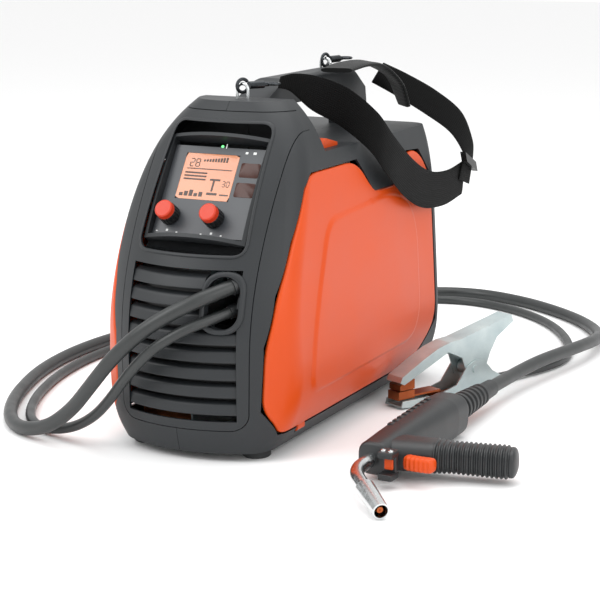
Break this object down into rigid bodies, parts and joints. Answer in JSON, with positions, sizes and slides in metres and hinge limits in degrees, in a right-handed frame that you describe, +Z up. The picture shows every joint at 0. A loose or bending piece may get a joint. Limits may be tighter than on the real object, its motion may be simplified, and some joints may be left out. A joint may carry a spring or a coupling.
{
  "type": "mig welding machine",
  "caption": "Portable MIG welding machine with front controls, side wire door, carrying handle and strap, torch on its cable and earth clamp on its lead.",
  "frame": {"origin": "On the floor under the middle of the machine's length and width.", "axes": "+X is the machine's right, the wire door's side; +Y runs from the control panel to the rear; +Z is up from the floor."},
  "size_m": [0.6737, 0.9557, 0.3859],
  "materials": {
    "shell_charcoal": "moulded, fine texture",
    "cover_orange": "moulded, satin",
    "control_dark": "moulded",
    "trigger_orange": "moulded, satin",
    "knob_gloss": "glossy, with red-orange caps",
    "display": "lit amber display behind a clear lens",
    "soft_rubber": "satin",
    "bright_steel": "nickel plated",
    "zinc_steel": "bright zinc plated",
    "brass_parts": "turned",
    "copper_parts": "bare copper",
    "sink_aluminium": "extruded",
    "board": "lacquered",
    "webbing": "woven polyester webbing",
    "pad_fabric": "woven cover over foam",
    "buckle": "moulded"
  },
  "bodies": {
    "machine": {"housing_left": "shell_charcoal", "housing_right": "shell_charcoal", "front_panel": "shell_charcoal", "grille_slats": "shell_charcoal", "handle": "shell_charcoal", "rear_panel": "shell_charcoal", "side_cover_left": "cover_orange", "control_fascia": "control_dark", "switch_frame": "control_dark", "mains_gland": "control_dark", "torch_handle": "control_dark", "feeder_plate": "control_dark", "spool_spindle": "control_dark", "spool_nut": "control_dark", "fan_frame": "control_dark", "trigger_guard": "control_dark", "display_lens": "display", "feet": "soft_rubber", "bend_relief": "soft_rubber", "torch_cable": "soft_rubber", "earth_cable": "soft_rubber", "hinge_pins": "bright_steel", "strap_eyelets": "bright_steel", "snap_hooks": "bright_steel", "housing_screws": "bright_steel", "swan_neck": "bright_steel", "gas_nozzle": "bright_steel", "clamp_lower_jaw": "zinc_steel", "clamp_pivot": "zinc_steel", "clamp_spring": "zinc_steel", "base_tray": "zinc_steel", "inner_wall": "zinc_steel", "feed_motor": "zinc_steel", "transformer": "zinc_steel", "gas_inlet": "brass_parts", "cable_sockets": "brass_parts", "contact_tip": "copper_parts", "clamp_contact_lower": "copper_parts", "heatsink": "sink_aluminium", "control_board": "board", "strap_front": "webbing", "strap_rear": "webbing", "shoulder_pad": "pad_fabric", "strap_slider": "buckle"},
    "side_door": {"side_door": "cover_orange"},
    "door_latch": {"door_latch": "cover_orange"},
    "knob_left": {"knob_left": "knob_gloss"},
    "knob_right": {"knob_right": "knob_gloss"},
    "power_switch": {"power_switch": "control_dark"},
    "fan_rotor": {"fan_rotor": "control_dark"},
    "wire_spool": {"wire_spool": "control_dark"},
    "drive_roll": {"drive_roll": "zinc_steel"},
    "pressure_arm": {"pressure_arm": "zinc_steel"},
    "pressure_roll": {"pressure_roll": "zinc_steel"},
    "tension_knob": {"tension_knob": "control_dark"},
    "torch_trigger": {"torch_trigger": "trigger_orange"},
    "clamp_upper_jaw": {"clamp_upper_jaw": "zinc_steel", "clamp_contact_upper": "copper_parts"},
    "hook_bolt_front": {"hook_bolt_front": "bright_steel"},
    "hook_bolt_rear": {"hook_bolt_rear": "bright_steel"}
  },
  "joints": [
    {"name": "door_hinge", "type": "hinge", "parent": "machine", "child": "side_door", "pos_m": [0.0955, 0, 0.0265], "axis": [0, 1, 0], "range_deg": [0, 24], "deforming": ["strap_front", "strap_rear", "strap_slider"]},
    {"name": "latch_press", "type": "slide", "parent": "machine", "child": "door_latch", "axis": [0, 0, -1], "range_m": [0, 0.003], "stiffness_N_per_m": 400},
    {"name": "knob_left_turn", "type": "hinge", "parent": "machine", "child": "knob_left", "pos_m": [-0.037, -0.16329, 0.23877], "axis": [0, -0.8384, 0.545], "range_deg": [-135, 135]},
    {"name": "knob_right_turn", "type": "hinge", "parent": "machine", "child": "knob_right", "pos_m": [0.014, -0.16329, 0.23877], "axis": [0, -0.8384, 0.545], "range_deg": [-135, 135]},
    {"name": "switch_rock", "type": "hinge", "parent": "machine", "child": "power_switch", "pos_m": [-0.038, 0.22, 0.216], "axis": [1, 0, 0], "range_deg": [0, 12]},
    {"name": "fan_spin", "type": "hinge", "parent": "machine", "child": "fan_rotor", "pos_m": [-0.052, 0.181, 0.17], "axis": [0, 1, 0], "continuous": true},
    {"name": "spool_turn", "type": "hinge", "parent": "machine", "child": "wire_spool", "pos_m": [0.047, 0.075, 0.152], "axis": [1, 0, 0], "continuous": true},
    {"name": "drive_roll_turn", "type": "hinge", "parent": "machine", "child": "drive_roll", "pos_m": [0.047, -0.097, 0.1716], "axis": [1, 0, 0], "continuous": true},
    {"name": "pressure_arm_lift", "type": "hinge", "parent": "machine", "child": "pressure_arm", "pos_m": [0.047, -0.131, 0.2039], "axis": [1, 0, 0], "range_deg": [0, 30]},
    {"name": "pressure_roll_turn", "type": "hinge", "parent": "pressure_arm", "child": "pressure_roll", "pos_m": [0.047, -0.097, 0.2039], "axis": [1, 0, 0], "continuous": true},
    {"name": "tension_knob_turn", "type": "hinge", "parent": "pressure_arm", "child": "tension_knob", "pos_m": [0.0558, -0.07, 0.2039], "axis": [0, 0, 1], "continuous": true},
    {"name": "trigger_press", "type": "hinge", "parent": "machine", "child": "torch_trigger", "pos_m": [0.26051, -0.18986, 0.0235], "axis": [0, 0, 1], "range_deg": [-8, 0], "stiffness_Nm_per_rad": 0.4},
    {"name": "clamp_open", "type": "hinge", "parent": "machine", "child": "clamp_upper_jaw", "pos_m": [0.16747, 0.15795, 0.029], "axis": [0.9135, -0.4067, 0], "range_deg": [-14, 0], "stiffness_Nm_per_rad": 2},
    {"name": "front_bolt_slide", "type": "slide", "parent": "machine", "child": "hook_bolt_front", "axis": [0.5, 0.866, 0], "range_m": [0, 0.004], "stiffness_N_per_m": 100},
    {"name": "rear_bolt_slide", "type": "slide", "parent": "machine", "child": "hook_bolt_rear", "axis": [0.2079, 0.9781, 0], "range_m": [0, 0.004], "stiffness_N_per_m": 100}
  ],
  "couplings": [
    {"joint": "pressure_roll_turn", "follows": "drive_roll_turn", "ratio": -1.2857}
  ]
}
